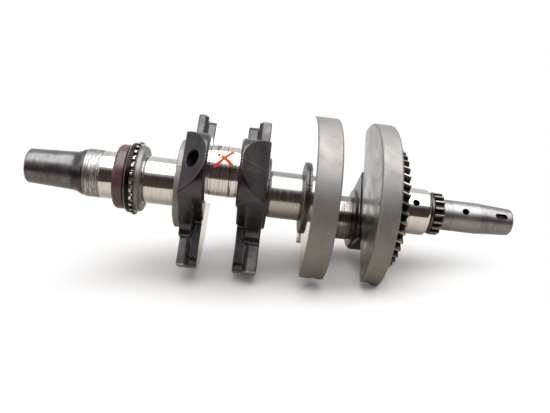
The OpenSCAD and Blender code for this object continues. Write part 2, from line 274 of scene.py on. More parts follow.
def make_world():
    """White to the eye. It sheds light from above and behind, and little from the front."""
    world = bpy.data.worlds.new("studio")
    bpy.context.scene.world = world
    world.use_nodes = True
    world.node_tree.nodes.clear()
    graph = Graph(world.node_tree)
    split = graph.node("SeparateXYZ")
    graph.link(graph.node("TexCoord").outputs["Generated"], split.inputs[0])
    above = graph.remap(split.outputs["Z"], *SKY, shape="SMOOTHSTEP")
    behind = graph.remap(split.outputs["Y"], *BACKDROP, shape="SMOOTHSTEP")
    mix = graph.node("Mix", data_type="RGBA")
    mix.inputs["A"].default_value = WORLD_DIM
    mix.inputs["B"].default_value = WORLD_BRIGHT
    graph.link(graph.math("MAXIMUM", above, behind), mix.inputs["Factor"])
    shed = graph.node("Background")
    strength = graph.remap(split.outputs["Z"], *HORIZON, HORIZON_GAIN, 1)
    graph.link(strength, shed.inputs["Strength"])
    graph.link(mix.outputs["Result"], shed.inputs["Color"])
    white = graph.coloured("Background", (1, 1, 1))
    out = graph.node("OutputWorld")
    graph.link(graph.choose(graph.seen(), shed.outputs[0], white.outputs[0]), out.inputs[0])


make_camera()
make_floor()
make_world()
area_light("overhead", (0, -0.15, 0.75), (1.5, 0.9), 15)
area_light("left_fill", (-0.9, -0.35, 0.45), (0.6, 0.6), 2)
bpy.context.scene.view_settings.view_transform = "Standard"

# ---------------------------------------------------------------- making pieces


def keep(name, mesh, body="crank"):
    """A new object for a mesh, riding on a CAD body."""
    piece = bpy.data.objects.new(name, mesh)
    bpy.context.scene.collection.objects.link(piece)
    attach(piece, body)
    return piece


def settled(piece):
    """Applies a piece's modifiers to its mesh."""
    depsgraph = bpy.context.evaluated_depsgraph_get()
    mesh = bpy.data.meshes.new_from_object(piece.evaluated_get(depsgraph))
    old = piece.data
    piece.modifiers.clear()
    piece.data = mesh
    bpy.data.meshes.remove(old)


def softened(outline, radius):
    """An outline with each of its inner corners cut by a small three-point arc."""
    made = [outline[0]]
    for before, point, after in zip(outline, outline[1:], outline[2:]):
        a, p, b = Vector(before), Vector(point), Vector(after)
        back = min(radius, 0.4 * (a - p).length)
        on = min(radius, 0.4 * (b - p).length)
        if back < 1e-4 or on < 1e-4:
            made.append(point)
            continue
        start = p + (a - p).normalized() * back
        end = p + (b - p).normalized() * on
        middle = (start + end) * 0.25 + p * 0.5
        made += [tuple(start), tuple(middle), tuple(end)]
    return made + [outline[-1]]


def stepped(outline, step):
    """An outline with points added so that no stretch is longer than step."""
    made = []
    for a, b in zip(outline, outline[1:]):
        count = max(1, math.ceil((Vector(b) - Vector(a)).length / step))
        made += [tuple(Vector(a).lerp(Vector(b), i / count)) for i in range(count)]
    return made + [outline[-1]]


def turned(outline, radius=0.25, step=2.0, segments=160, centre=(0, 0), teeth=None):
    """A mesh turned about X from (x, radius) or (x, radius, tooth share) points in mm.

    An outline that starts and ends on the axis is a solid. Any other is a closed ring.
    teeth is (count, [(place, height)...] of one tooth, depth, turn per mm along X).
    """
    points = [(p[0], p[1], p[2] if len(p) > 2 else 0.0) for p in outline]
    solid = points[0][1] == 0
    if not solid:
        middle = tuple((Vector(points[0]) + Vector(points[-1])) / 2)
        points = [middle] + points + [middle]
    points = stepped(softened(points, radius), step)
    if not solid:
        points = points[:-1]
    if teeth:
        count, shape, depth, lead = teeth
        marks = [((i + place) / count, height) for i in range(count) for place, height in shape]
    else:
        depth, lead = 0, 0
        marks = [(i / segments, 1) for i in range(segments)]
    made = bmesh.new()
    rings = []
    for x, r, share in points:
        if r == 0:
            rings.append([made.verts.new((x * MM, centre[0] * MM, centre[1] * MM))])
            continue
        ring = []
        for turn, height in marks:
            angle = 2 * math.pi * turn + lead * (x - points[0][0])
            reach = r - depth * share * (1 - height)
            y = centre[0] + reach * math.cos(angle)
            z = centre[1] + reach * math.sin(angle)
            ring.append(made.verts.new((x * MM, y * MM, z * MM)))
        rings.append(ring)
    pairs = list(zip(rings, rings[1:]))
    if not solid:
        pairs.append((rings[-1], rings[0]))
    for a, b in pairs:
        for i in range(len(marks)):
            j = (i + 1) % len(marks)
            if len(a) == 1 and len(b) == 1:
                break
            if len(a) == 1:
                made.faces.new((a[0], b[i], b[j]))
            elif len(b) == 1:
                made.faces.new((a[i], b[0], a[j]))
            else:
                made.faces.new((a[i], b[i], b[j], a[j]))
    bmesh.ops.recalc_face_normals(made, faces=made.faces)
    mesh = bpy.data.meshes.new("turned")
    made.to_mesh(mesh)
    made.free()
    return mesh


def smooth(piece, angle=30):
    """Smooth shading, with edges sharper than angle kept crisp."""
    piece.data.polygons.foreach_set("use_smooth", [True] * len(piece.data.polygons))
    piece.data.set_sharp_from_angle(angle=math.radians(angle))


def cut(piece, *cutters):
    """Takes each cutter mesh out of a piece."""
    for mesh in cutters:
        cutter = bpy.data.objects.new("cutter", mesh)
        bpy.context.scene.collection.objects.link(cutter)
        modifier = piece.modifiers.new("cut", "BOOLEAN")
        modifier.operation = "DIFFERENCE"
        modifier.solver = "EXACT"
        modifier.object = cutter
        bpy.context.view_layer.update()
        settled(piece)
        bpy.data.objects.remove(cutter)


def aimed(mesh, centre, direction):
    """Turns a mesh drawn along X to a direction, and moves its origin to centre, in mm."""
    turn = Vector(direction).to_track_quat("X", "Z").to_matrix().to_4x4()
    mesh.transform(Matrix.Translation(Vector(centre) * MM) @ turn)
    return mesh


def drill(x, centre, surface_r, direction):
    """A cutter for an oil hole with a rounded mouth at a journal's surface."""
    bottom, mouth_r = surface_r - OIL_HOLE_DEPTH, OIL_HOLE_R + 1.5 * OIL_HOLE_LIP
    outline = [
        (bottom, 0), (bottom, OIL_HOLE_R), (surface_r - OIL_HOLE_LIP, OIL_HOLE_R),
        (surface_r - 0.3 * OIL_HOLE_LIP, OIL_HOLE_R + 0.35 * OIL_HOLE_LIP),
        (surface_r + 0.6, mouth_r), (surface_r + 3, mouth_r), (surface_r + 3, 0),
    ]
    return aimed(turned(outline, 0.1, 4, 40), (x, centre[0], centre[1]), direction)


def about_x(angle):
    """The direction at an angle about X, measured from +Y."""
    return Vector((0, math.cos(angle), math.sin(angle)))


def thread(x_mouth, x_end, radius, pitch, towards):
    """Outline points of a tapped hole, as fine rings from its mouth to its end."""
    count = int(abs(x_end - x_mouth) / pitch)
    made = []
    for i in range(count):
        x = x_mouth + towards * i * pitch
        made += [(x, radius + THREAD_DEPTH), (x + towards * pitch * 0.5, radius)]
    return made


# ---------------------------------------------------------------- materials


class Surface(Graph):
    """A metal, rubber or paint, built up on one Principled shader."""

    def __init__(self, name, colour, metallic, roughness, centre=(0, 0)):
        self.matter = bpy.data.materials.new(name)
        self.matter.use_nodes = True
        super().__init__(self.matter.node_tree)
        self.shader = self.tree.nodes["Principled BSDF"]
        self.shader.inputs["Metallic"].default_value = metallic
        self.shader.inputs["Roughness"].default_value = roughness
        self.shader.inputs["Base Color"].default_value = (*colour, 1)
        self.centre = centre
        self.colour = None
        self.rough = None
        self.height = None
        self.coords()

    def coords(self):
        """Place along X, angle about the piece's own axis and radius, in metres and turns."""
        place = self.node("TexCoord").outputs["Object"]
        split = self.node("SeparateXYZ")
        self.link(place, split.inputs[0])
        self.place = place
        self.x = split.outputs[0]
        self.y = self.math("SUBTRACT", split.outputs[1], self.centre[0] * MM)
        self.z = self.math("SUBTRACT", split.outputs[2], self.centre[1] * MM)
        self.angle = self.math("ARCTAN2", self.z, self.y)
        square = self.math("MULTIPLY", self.y, self.y)
        self.radius = self.math("SQRT", self.math("MULTIPLY_ADD", self.z, self.z, square))

    def noise(self, scale, detail=3, rough=0.6, vector=None):
        made = self.node("TexNoise")
        made.inputs["Scale"].default_value = scale
        made.inputs["Detail"].default_value = detail
        made.inputs["Roughness"].default_value = rough
        self.link(vector or self.place, made.inputs["Vector"])
        return made.outputs["Fac"]

    def stripes(self, across, around, detail=2, rough=0.6):
        """Noise drawn out round the axis: across is cells per metre along X, around per turn."""
        join = self.node("CombineXYZ")
        self.link(self.math("MULTIPLY", self.x, across), join.inputs[0])
        self.link(self.math("MULTIPLY", self.math("COSINE", self.angle), around), join.inputs[1])
        self.link(self.math("MULTIPLY", self.math("SINE", self.angle), around), join.inputs[2])
        return self.noise(1, detail, rough, join.outputs[0])

    def tint(self, value, colour):
        """Mixes a colour over what is there, by value."""
        made = self.node("Mix", data_type="RGBA")
        self.link(value, made.inputs["Factor"])
        if self.colour is None:
            made.inputs["A"].default_value = self.shader.inputs["Base Color"].default_value
        else:
            self.link(self.colour, made.inputs["A"])
        made.inputs["B"].default_value = (*colour, 1)
        self.colour = made.outputs["Result"]
        self.link(self.colour, self.shader.inputs["Base Color"])
        return self

    def roughen(self, value, amount):
        """Adds value times amount to the roughness."""
        base = self.rough
        if base is None:
            base = self.shader.inputs["Roughness"].default_value
        self.rough = self.math("MULTIPLY_ADD", value, amount, base)
        self.link(self.rough, self.shader.inputs["Roughness"])
        return self

    def raise_by(self, value, amount):
        """Adds value times amount, in metres, to the bump height."""
        if self.height is None:
            self.height = self.math("MULTIPLY", value, amount)
        else:
            self.height = self.math("MULTIPLY_ADD", value, amount, self.height)
        return self

    def done(self):
        if self.height is not None:
            bump = self.node("Bump")
            bump.inputs["Distance"].default_value = 1.0
            self.link(self.height, bump.inputs["Height"])
            self.link(bump.outputs[0], self.shader.inputs["Normal"])
        return self.matter


def shade(colour, share):
    """A colour made darker or lighter."""
    return tuple(min(1, c * share) for c in colour)


def paint_shade_below(s, radius):
    """Paints shade into holes and slots: near black below a radius about the surface's axis."""
    s.tint(s.remap(s.radius, (radius - 0.3) * MM, radius * MM, 1, 0), (0.012, 0.01, 0.01))


def ground_steel(name, colour=(0.7, 0.675, 0.64), roughness=0.09, done=True):
    """Ground and polished, with fine rings and faint stains round the axis."""
    s = Surface(name, colour, 1, roughness)
    s.raise_by(s.stripes(2600, 1.5), 1.5e-6)
    s.roughen(s.remap(s.stripes(900, 1.2, 4), 0.45, 0.7), 0.12)
    s.tint(s.remap(s.stripes(420, 0.9, 4), 0.48, 0.72, 0, 0.55), (0.4, 0.37, 0.34))
    s.tint(s.remap(s.noise(150, 4, 0.7), 0.6, 0.75, 0, 0.35), (0.5, 0.43, 0.33))
    # Painted shade inside the oil hole
    paint_shade_below(s, MAIN_R - 1)
    return s.done() if done else s


def scuffed_steel(name, edge):
    """Ground steel that is dull and badly scratched to the left of an edge along X."""
    s = ground_steel(name, done=False)
    left = s.remap(s.x, (edge - 0.2) * MM, (edge + 0.2) * MM, 1, 0)
    s.tint(s.math("MULTIPLY", left, 0.9), (0.19, 0.182, 0.178))
    lines = s.remap(s.stripes(1300, 1.4, 5, 0.75), 0.53, 0.6)
    s.tint(s.math("MULTIPLY", left, lines), (0.85, 0.84, 0.82))
    pits = s.remap(s.noise(420, 4, 0.7), 0.6, 0.68)
    s.tint(s.math("MULTIPLY", left, pits), (0.1, 0.08, 0.075))
    s.roughen(left, 0.27)
    s.raise_by(s.math("MULTIPLY", left, lines), 2.5e-5)
    return s.done()


def scored_steel(name, centre, colour, scoring):
    """A worn crankpin: scored all round by its bearing, with a few black pits."""
    s = Surface(name, colour, 1, 0.1, centre)
    s.raise_by(s.stripes(2200, 1.2), 3e-6)
    fine = s.remap(s.stripes(1700, 0.4, 3, 0.7), 0.52, 0.6)
    coarse = s.remap(s.stripes(1000, 0.45, 2, 0.6), 0.57, 0.64)
    s.raise_by(fine, -1.2e-5)
    s.roughen(fine, 0.14)
    s.tint(s.math("MULTIPLY", fine, 0.7 * scoring), (0.13, 0.11, 0.1))
    s.tint(s.math("MULTIPLY", coarse, 0.85 * scoring), (0.05, 0.043, 0.04))
    s.tint(s.remap(s.noise(520, 2, 0.5), 0.69, 0.71), (0.02, 0.016, 0.015))
    # Painted shade inside the oil hole and the slanted drilling
    paint_shade_below(s, PIN_R - 1)
    return s.done()


def satin_steel(name, colour, roughness=0.34, shade_core=0.0, wear_and_sheen=None, darker_past=None):
    """Fine-turned steel, rubbed bright by a hub on the worn stretch and darker past a place along
    X.
    """
    s = Surface(name, colour, 1, roughness)
    s.raise_by(s.stripes(1800, 1.0), 2e-6)
    s.raise_by(s.noise(300, 4), 8e-6)
    s.roughen(s.remap(s.noise(120, 4), 0.4, 0.7), 0.12)
    s.tint(s.remap(s.stripes(420, 1.6, 4), 0.48, 0.7, 0, 0.7), shade(colour, 0.55))
    s.tint(s.remap(s.noise(95, 5, 0.7), 0.54, 0.7, 0, 0.45), shade(colour, 1.9))
    if wear_and_sheen:
        first, last = wear_and_sheen
        after = s.remap(s.x, (first - 0.4) * MM, (first + 0.4) * MM)
        before = s.remap(s.x, (last - 0.4) * MM, (last + 0.4) * MM, 1, 0)
        patch = s.remap(s.noise(70, 3), 0.36, 0.56, 0.35, 1)
        band = s.math("MULTIPLY", s.math("MULTIPLY", after, before), patch)
        s.tint(band, shade(colour, 1.15))
        s.roughen(band, 0.03)
    # Tinted darker from this place along X to the piece's end
    if darker_past:
        past = s.remap(s.x, (darker_past - 1) * MM, (darker_past + 2) * MM, 0, 0.8)
        s.tint(past, shade(colour, 0.35))
    # Painted shade: near black below the core radius, in the bores and the keyway
    if shade_core:
        paint_shade_below(s, shade_core)
    return s.done()


def forged_steel(name):
    """Raw forging: near black, grainy and fairly glossy, with brown stains and bright nicks."""
    s = Surface(name, (0.086, 0.082, 0.086), 1, 0.27)
    s.raise_by(s.noise(900, 3), 2.5e-6)
    s.raise_by(s.noise(130, 3), 1.6e-5)
    s.roughen(s.remap(s.noise(90, 4), 0.4, 0.65), 0.1)
    s.tint(s.remap(s.noise(60, 5), 0.42, 0.66, 0, 0.75), (0.045, 0.043, 0.048))
    s.tint(s.remap(s.noise(38, 5, 0.7), 0.54, 0.7, 0, 0.6), (0.19, 0.15, 0.13))
    s.tint(s.remap(s.noise(260, 4, 0.75), 0.69, 0.74, 0, 0.8), (0.5, 0.49, 0.48))
    return s.done()


def machined_steel(name, roughness=0.56, colour=(0.285, 0.272, 0.262)):
    """Turned rims, dulled by handling, with small dark dents."""
    s = Surface(name, colour, 1, roughness)
    s.raise_by(s.stripes(1500, 1.0), 2.5e-6)
    s.raise_by(s.noise(110, 4), 2e-5)
    s.roughen(s.remap(s.noise(70, 4), 0.4, 0.7), 0.12)
    s.tint(s.remap(s.noise(45, 5), 0.48, 0.7, 0, 0.5), shade(colour, 0.7))
    s.tint(s.remap(s.noise(230, 4, 0.7), 0.68, 0.73, 0, 0.7), shade(colour, 0.3))
    return s.done()


def faced_steel(name, colour, roughness, stains):
    """The flat faces of the webs: milled bright, mirror-like between faint stains."""
    s = Surface(name, colour, 1, roughness)
    s.raise_by(s.noise(1400, 2), 1e-6)
    s.raise_by(s.noise(240, 3), 4e-6)
    s.roughen(s.remap(s.noise(55, 5), 0.4, 0.7), 0.2 * stains)
    s.tint(s.remap(s.noise(48, 5, 0.7), 0.5, 0.72, 0, 0.6 * stains), (0.36, 0.34, 0.325))
    s.tint(s.remap(s.noise(260, 3, 0.6), 0.66, 0.72, 0, 0.5), (0.25, 0.23, 0.22))
    return s.done()


# Painted shade: the drilling's walls are near black, as shade falls deep in the hole
def shaded_bore_steel(name):
    s = Surface(name, (0.02, 0.017, 0.017), 0.6, 0.6)
    s.raise_by(s.noise(500, 3), 2e-5)
    s.tint(s.remap(s.noise(120, 3), 0.5, 0.7, 0, 0.5), (0.05, 0.04, 0.035))
    return s.done()


def toothed_steel(name, colour, root, tip, roughness=0.36):
    """Hardened teeth, with painted shade near black in the gaps down to their roots and a painted
    highlight on their tips.
    """
    s = Surface(name, colour, 1, roughness)
    s.raise_by(s.noise(800, 3), 5e-6)
    s.tint(s.remap(s.noise(150, 4), 0.45, 0.7, 0, 0.6), shade(colour, 0.55))
    depth = tip - root
    # Painted shade: near black in the gaps between the teeth, from the roots most of the way up
    # the flanks
    gap_shade = s.remap(s.radius, (root + 0.3 * depth) * MM, (root + 0.95 * depth) * MM, 1, 0)
    inside = s.remap(s.radius, (root - 0.6) * MM, (root - 0.4) * MM)
    s.tint(s.math("MULTIPLY", gap_shade, inside), (0.02, 0.017, 0.016))
    # Painted highlight: the tips are tinted bright, as light catches the teeth's edges
    wear_and_sheen = s.remap(s.radius, (tip - 0.3) * MM, (tip - 0.08) * MM, 0, 0.85)
    s.tint(wear_and_sheen, shade(colour, 2.4))
    return s.done()


def rubber(name):
    s = Surface(name, (0.066, 0.024, 0.028), 0, 0.29)
    s.shader.inputs["Specular IOR Level"].default_value = 0.7
    s.raise_by(s.noise(700, 3), 6e-6)
    s.raise_by(s.stripes(300, 0.6), 1e-5)
    s.tint(s.remap(s.noise(90, 4), 0.45, 0.7, 0, 0.6), (0.11, 0.05, 0.055))
    s.roughen(s.remap(s.noise(60, 4), 0.4, 0.7), 0.14)
    return s.done()


def paint(name):
    s = Surface(name, (0.42, 0.035, 0.008), 0, 0.6)
    s.shader.inputs["Specular IOR Level"].default_value = 0.25
    s.raise_by(s.noise(900, 3), 1e-5)
    s.tint(s.remap(s.noise(500, 3), 0.45, 0.7, 0, 0.6), (0.5, 0.08, 0.02))
    s.tint(s.remap(s.noise(330, 4, 0.7), 0.62, 0.7, 0, 0.8), (0.16, 0.03, 0.015))
    return s.done()


# ---------------------------------------------------------------- the crank's turned parts


def finish(piece, node, matter, angle=30):
    """Gives a piece its material and lets it stand for its CAD node."""
    smooth(piece, angle)
    piece.data.materials.clear()
    piece.data.materials.append(matter)
    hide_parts(node)


def make_pto_taper():
    """The clutch taper, the flare behind it and the tapped bore in its free end."""
    x0, x1 = span("pto_taper")
    big, flare_w, mouth, bore, pitch, steps = 16.1, 10.5, 7.5, 6.2, 1.5, 12
    recess, tapped, bottom = x0 + 6, x0 + 39, x0 + 40
    neck = x1 - flare_w
    small = big - (neck - x0) / 20
    rise = MAIN_R - 0.6 - big
    outline = [(bottom, 0), (bottom, bore)]
    outline += reversed(thread(recess, tapped, bore, pitch, 1))
    outline += [(recess, mouth), (x0 + 0.8, mouth), (x0, mouth + 0.8), (x0, small - 1)]
    outline += [(x0 + 1, small), (neck, big)]
    outline += [
        (neck + flare_w * i / steps, big + rise * (1 - math.cos(math.pi * i / steps)) / 2)
        for i in range(1, steps + 1)
    ]
    outline += [(x1, 0)]
    piece = keep("clutch_taper", turned(outline, 0.12))
    matter = satin_steel("taper_steel", (0.16, 0.154, 0.158), 0.31, shade_core=10, darker_past=neck)
    finish(piece, "pto_taper", matter)


def make_seal_journal():
    """The seal's journal, with a thin groove at the edge of its scuffed end."""
    x0, x1 = span("seal_journal")
    groove = x0 + 13.3
    outline = [(x0, 0), (x0, MAIN_R - 0.6), (x0 + 0.6, MAIN_R - 0.05)]
    pitch, depth = 0.22, 0.28
    scratches = int((groove - x0 - 1.6) / pitch)
    for i in range(scratches):
        wear = max(0, noise.noise(Vector((i * 0.61, 0, 5))))
        outline.append((x0 + 0.8 + pitch * i, MAIN_R - depth * wear))
    outline += [
        (groove - 0.5, MAIN_R), (groove - 0.2, MAIN_R - 0.3), (groove + 0.2, MAIN_R - 0.3),
        (groove + 0.5, MAIN_R), (x1, MAIN_R), (x1, 0),
    ]
    piece = keep("seal_journal_surface", turned(outline, 0.12, segments=192))
    matter = scuffed_steel("seal_journal_steel", groove)
    finish(piece, "seal_journal", matter, 50)


# A darker, rougher copy of the journals' steel for the centre journal and crankpin 2: darker
# partly as a duller finish and partly as painted shade from the webs round them
DULL_AND_SHADED = (0.42, 0.4, 0.38)


def journal_outline(x0, x1, r):
    """A ground journal with an undercut at each end."""
    inner = r - UNDERCUT
    return [
        (x0, 0), (x0, inner), (x0 + UNDERCUT_W - UNDERCUT_RAMP, inner), (x0 + UNDERCUT_W, r),
        (x1 - UNDERCUT_W, r), (x1 - UNDERCUT_W + UNDERCUT_RAMP, inner), (x1, inner), (x1, 0),
    ]


def make_journals():
    """The left and the centre main journal. Their oil holes face away from crankpin 1."""
    away = about_x(THROW_ANGLE + math.pi)
    bright = ground_steel("journal_steel")
    dull_and_shaded = ground_steel("centre_journal_steel", DULL_AND_SHADED, 0.17)
    for side, matter in (("left", bright), ("centre", dull_and_shaded)):
        node = "main_journal_" + side
        x0, x1 = span(node)
        mesh = turned(journal_outline(x0, x1, MAIN_R), 0.15, 1.5, 192)
        piece = keep(side + "_main_journal", mesh)
        cut(piece, drill((x0 + x1) / 2, (0, 0), MAIN_R, away))
        finish(piece, node, matter)


# The bevel on an outer web's lobe, and the drilling that starts square to the bevel's middle.
# The middle is BEVEL_OUT of the lobe's radius out from the crankpin, so BEVEL_IN from its tip.
# At that tip the bevel starts BEVEL_SINK from the end of the web's collar
BEVEL = math.radians(44)
BEVEL_SINK = 1.5
BEVEL_OUT = 0.62
BEVEL_IN = 0.38
LOBE_R = 28
DRILLING_R = 7


def gallery_line(side):
    """A point and the direction of the slanted drilling that starts at an outer web's bevel."""
    mid_out = THROW + LOBE_R * BEVEL_OUT
    mid_x = abs(span("web_1")[1]) + BEVEL_SINK + (LOBE_R * BEVEL_IN) / math.tan(BEVEL)
    centre = Vector((side * mid_x, 0, 0)) - side * TO_PIN_1 * mid_out
    inward = Vector((-side * math.sin(BEVEL), 0, 0)) + side * TO_PIN_1 * math.cos(BEVEL)
    return centre, inward


def gallery_cutter(side):
    """A cutter for the slanted drilling, from outside the web into the crankpin."""
    outside, inside = -20, 40
    outline = [(outside, 0), (outside, DRILLING_R), (inside, DRILLING_R), (inside, 0)]
    return aimed(turned(outline, 0.1, 5, 64), *gallery_line(side))


def make_crankpins():
    """Both crankpins, each with its slanted drilling and its oil hole."""
    for node, pin, side, hole, colour, scoring in (
        ("crankpin_1", PIN_1, -1, THROW_ANGLE + math.radians(150), (0.78, 0.75, 0.71), 1.0),
        ("crankpin_2", PIN_2, 1, THROW_ANGLE + math.radians(240), DULL_AND_SHADED, 0.8),
    ):
        matter = scored_steel(node + "_steel", (pin.y, pin.z), colour, scoring)
        x0, x1 = span(node)
        centre = (pin.y, pin.z)
        mesh = turned(journal_outline(x0, x1, PIN_R), 0.15, 1.5, 192, centre)
        piece = keep(node + "_surface", mesh)
        cut(piece, gallery_cutter(side), drill(pin.x, centre, PIN_R, about_x(hole)))
        finish(piece, node, matter)


def make_right_journal():
    """The right main journal, with the gear's seat before it and a round nose after it."""
    x0, x1 = span("main_journal_right")
    nose, steps, inner = 3.5, 8, MAIN_R - UNDERCUT
    seat = span("balancer_drive_gear")[1]
    end = x1 - nose
    outline = [(x0, 0), (x0, GEAR_SEAT_R), (seat, GEAR_SEAT_R), (seat, inner)]
    outline += [(seat + UNDERCUT_W - UNDERCUT_RAMP, inner), (seat + UNDERCUT_W, MAIN_R)]
    outline += [
        (end + nose * math.sin(a), MAIN_R - nose + nose * math.cos(a))
        for a in (math.pi / 2 * i / steps for i in range(steps + 1))
    ]
    outline += [(x1, 0)]
    piece = keep("right_main_journal", turned(outline, 0.12, 1.5, 192))
    cut(piece, drill(RIGHT_OIL_HOLE_X, (0, 0), MAIN_R, TO_PIN_1))
    finish(piece, "main_journal_right", ground_steel("right_journal_steel"))


def make_shaft():
    """The shaft that carries the timing sprocket, with a relief groove."""
    x0, x1 = span("flywheel_shaft")
    relief, relief_w, relief_r = x0 + 11.5, 1.2, SHAFT_R - 0.3
    outline = [
        (x0, 0), (x0, SHAFT_R), (relief, SHAFT_R), (relief, relief_r),
        (relief + relief_w, relief_r), (relief + relief_w, SHAFT_R), (x1, SHAFT_R), (x1, 0),
    ]
    piece = keep("sprocket_shaft", turned(outline, 0.12, 1.5, 144))
    cut(piece, drill(x1 - 14.4, (0, 0), SHAFT_R, TO_PIN_1))
    wear_and_sheen = (relief + 9, x1 - 1.5)
    matter = satin_steel("shaft_steel", (0.26, 0.253, 0.253), 0.32, SHAFT_R - 1, wear_and_sheen)
    finish(piece, "flywheel_shaft", matter)


def make_flywheel_taper():
    """The flywheel's taper, with its keyway and the tapped bore in its free end."""
    x0, x1 = span("flywheel_taper")
    big, end, chamfer, bore, mouth, pitch = SHAFT_R - 0.15, 11.3, 1, 5.4, 6.5, 1.25
    recess, tapped, bottom = x1 - 3, x1 - 25, x1 - 26
    outline = [(x0, 0), (x0, big), (x1 - chamfer, end), (x1, end - chamfer), (x1, mouth + 0.6)]
    outline += [(x1 - 0.6, mouth), (recess, mouth)]
    outline += thread(recess, tapped, bore, pitch, -1)
    outline += [(bottom, bore), (bottom, 0)]
    piece = keep("flywheel_taper_end", turned(outline, 0.1, 1.5, 144))
    keyway_l, keyway_w, keyway_floor = 10.8, 4.5, SHAFT_R - 1.3 - 2.6
    cut(piece, keyway_cutter(x0 + 11.7, keyway_l, keyway_w, keyway_floor))
    matter = satin_steel("end_steel", (0.24, 0.233, 0.235), 0.32, end - 0.35)
    finish(piece, "flywheel_taper", matter)


def keyway_cutter(x, length, width, floor_r):
    """A slot with round ends, cut in from crankpin 1's side."""
    made = bmesh.new()
    half, count = width / 2, 24
    ring = []
    for i in range(count):
        a = 2 * math.pi * (i + 0.5) / count
        middle = x + half if math.cos(a) < 0 else x + length - half
        ring.append((middle + half * math.cos(a), half * math.sin(a)))
    side = TO_PIN_1.cross(Vector((1, 0, 0)))
    floor, top = [], []
    for px, across in ring:
        spot = Vector((px, 0, 0)) + side * across
        floor.append(made.verts.new((spot + TO_PIN_1 * floor_r) * MM))
        top.append(made.verts.new((spot + TO_PIN_1 * (SHAFT_R + 4)) * MM))
    made.faces.new(floor)
    made.faces.new(reversed(top))
    for i in range(count):
        j = (i + 1) % count
        made.faces.new((floor[i], top[i], top[j], floor[j]))
    bmesh.ops.recalc_face_normals(made, faces=made.faces)
    mesh = bpy.data.meshes.new("keyway")
    made.to_mesh(mesh)
    made.free()
    return mesh


# ---------------------------------------------------------------- the webs


# A face is flat where its normal's X is over FLAT. The rest is in mm
FLAT = 0.985
WEB_R = cad_high.z / MM
COLLAR_R = 26.5
LOBE_START = 3
SEAM_W = 0.45
SEAM_H = 0.3
RIM_BAND = 1.6

# The fan's tips: where they lie along the throw and out from the axis, and rounds of smoothing
TIP_ALONG = (-9, 12)
TIP_OUT = 33
TIP_ROUNDS = 14


def raise_seam(mesh, side):
    """The thin ridge that the forging dies left where they met, in the plane of the throws."""
    for vertex in mesh.vertices:
        off = vertex.co.dot(side) / MM
        out = math.hypot(vertex.co.y, vertex.co.z) / MM
        if abs(off) < 3 * SEAM_W and abs(vertex.normal.x) < FLAT and out < WEB_R - 2:
            vertex.co += vertex.normal * SEAM_H * MM * math.exp(-((off / SEAM_W) ** 2))


def soften_tips(mesh, pin):
    """Runs the hub, the ribs and the valley between them into each other at the fan's tips."""
    to_pin = Vector((0, pin.y, pin.z)).normalized()
    made = bmesh.new()
    made.from_mesh(mesh)
    tips = [
        vertex for vertex in made.verts
        if TIP_ALONG[0] < vertex.co.dot(to_pin) / MM < TIP_ALONG[1]
        and TIP_OUT < math.hypot(vertex.co.y, vertex.co.z) / MM < WEB_R - 1.5
    ]
    for _ in range(TIP_ROUNDS):
        bmesh.ops.smooth_vert(
            made, verts=tips, factor=0.5, use_axis_x=True, use_axis_y=True, use_axis_z=True
        )
    made.to_mesh(mesh)
    made.free()


def sort_faces(mesh, pin, flange, drilling, pad):
    """Slots: 0 as forged, 1 milled flat, 2 turned rim or flange, 3 wall of the drilling."""
    to_pin = Vector((0, pin.y, pin.z)).normalized()
    for face in mesh.polygons:
        place = face.center / MM
        flat = abs(face.normal.x) > FLAT
        on_lobe = place.dot(to_pin) > LOBE_START
        on_collar = math.hypot(place.y - pin.y, place.z - pin.z) < pad
        if flange[0] < place.x < flange[1]:
            face.material_index = 2 if flat or flange[2] else 0
        elif flat and (on_collar or not on_lobe):
            face.material_index = 1
        elif math.hypot(place.y, place.z) > WEB_R - RIM_BAND:
            face.material_index = 2
        if drilling:
            centre, axis = drilling
            out = place - centre
            out -= axis * out.dot(axis)
            if out.length < DRILLING_R + 0.6 and face.normal.dot(out) < -0.6 * out.length:
                face.material_index = 3


def make_web(node, matters, slot, pin, voxel, rounds, flange, drilling=None, pad=COLLAR_R):
    """A forged web: its CAD solid with its edges and inner corners rounded off."""
    mesh = frame["nodes"][node].data.copy()
    piece = keep(node + "_forging", mesh)
    mesh.materials.clear()
    weld = piece.modifiers.new("weld", "WELD")
    weld.merge_threshold = 1e-6
    remesh = piece.modifiers.new("remesh", "REMESH")
    remesh.mode = "VOXEL"
    remesh.voxel_size = voxel * MM
    rounding = piece.modifiers.new("smooth", "SMOOTH")
    rounding.factor = 0.5
    rounding.iterations = rounds
    bpy.context.view_layer.update()
    settled(piece)
    if slot == "forged_web":
        soften_tips(piece.data, pin)
    raise_seam(piece.data, TO_PIN_1.cross(Vector((1, 0, 0))))
    finish(piece, node, matters[0], 180)
    for matter in matters[1:]:
        piece.data.materials.append(matter)
    sort_faces(piece.data, pin, flange, drilling, pad)


